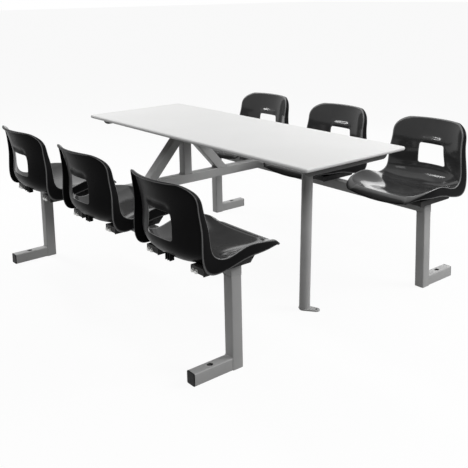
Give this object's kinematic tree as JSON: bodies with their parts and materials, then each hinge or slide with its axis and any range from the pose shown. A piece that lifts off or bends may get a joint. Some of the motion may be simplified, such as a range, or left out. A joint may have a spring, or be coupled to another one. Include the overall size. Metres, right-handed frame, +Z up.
{
  "type": "table with attached seats",
  "caption": "Rectangular canteen table and moulded bucket seats with handle holes, carried by one square-tube steel frame on L-shaped legs with a leaning prop leg.",
  "frame": {"origin": "on the floor, under the middle of the whole unit", "axes": "+X across the table from the left seat row to the right one, +Y along the table from the end with the prop leg to the other, +Z up"},
  "size_m": [1.73, 1.784, 0.7706],
  "materials": {
    "white_laminate": "white laminate on board, satin",
    "grey_painted_steel": "grey satin paint on steel tube",
    "dark_painted_steel": "black satin paint on folded sheet",
    "black_cap_plastic": "matt black",
    "black_seat_plastic": "charcoal black, moulded, semi-gloss"
  },
  "bodies": {
    "root": {"table_top": "white_laminate", "bearer_near": "dark_painted_steel", "bearer_far": "dark_painted_steel", "prop_leg_tube": "grey_painted_steel", "prop_leg_top_plate": "grey_painted_steel", "prop_leg_floor_lug": "grey_painted_steel", "cross_beam": "grey_painted_steel", "king_post": "grey_painted_steel", "strut_left": "grey_painted_steel", "strut_right": "grey_painted_steel", "post_head_plate": "grey_painted_steel", "seat_beam_left": "grey_painted_steel", "seat_beam_right": "grey_painted_steel", "beam_end_cap_left_near": "grey_painted_steel", "leg_upright_left_near": "grey_painted_steel", "leg_foot_left_near": "grey_painted_steel", "foot_end_cap_left_near": "black_cap_plastic", "beam_end_cap_left_far": "grey_painted_steel", "leg_upright_left_far": "grey_painted_steel", "leg_foot_left_far": "grey_painted_steel", "foot_end_cap_left_far": "black_cap_plastic", "seat_shell_left_near": "black_seat_plastic", "seat_bracket_left_near_1": "dark_painted_steel", "seat_bracket_left_near_2": "dark_painted_steel", "seat_shell_left_middle": "black_seat_plastic", "seat_bracket_left_middle_1": "dark_painted_steel", "seat_bracket_left_middle_2": "dark_painted_steel", "seat_shell_left_far": "black_seat_plastic", "seat_bracket_left_far_1": "dark_painted_steel", "seat_bracket_left_far_2": "dark_painted_steel", "beam_end_cap_right_near": "grey_painted_steel", "leg_upright_right_near": "grey_painted_steel", "leg_foot_right_near": "grey_painted_steel", "foot_end_cap_right_near": "black_cap_plastic", "beam_end_cap_right_far": "grey_painted_steel", "leg_upright_right_far": "grey_painted_steel", "leg_foot_right_far": "grey_painted_steel", "foot_end_cap_right_far": "black_cap_plastic", "seat_shell_right_near": "black_seat_plastic", "seat_bracket_right_near_1": "dark_painted_steel", "seat_bracket_right_near_2": "dark_painted_steel", "seat_shell_right_middle": "black_seat_plastic", "seat_bracket_right_middle_1": "dark_painted_steel", "seat_bracket_right_middle_2": "dark_painted_steel", "seat_shell_right_far": "black_seat_plastic", "seat_bracket_right_far_1": "dark_painted_steel", "seat_bracket_right_far_2": "dark_painted_steel"}
  },
  "joints": []
}
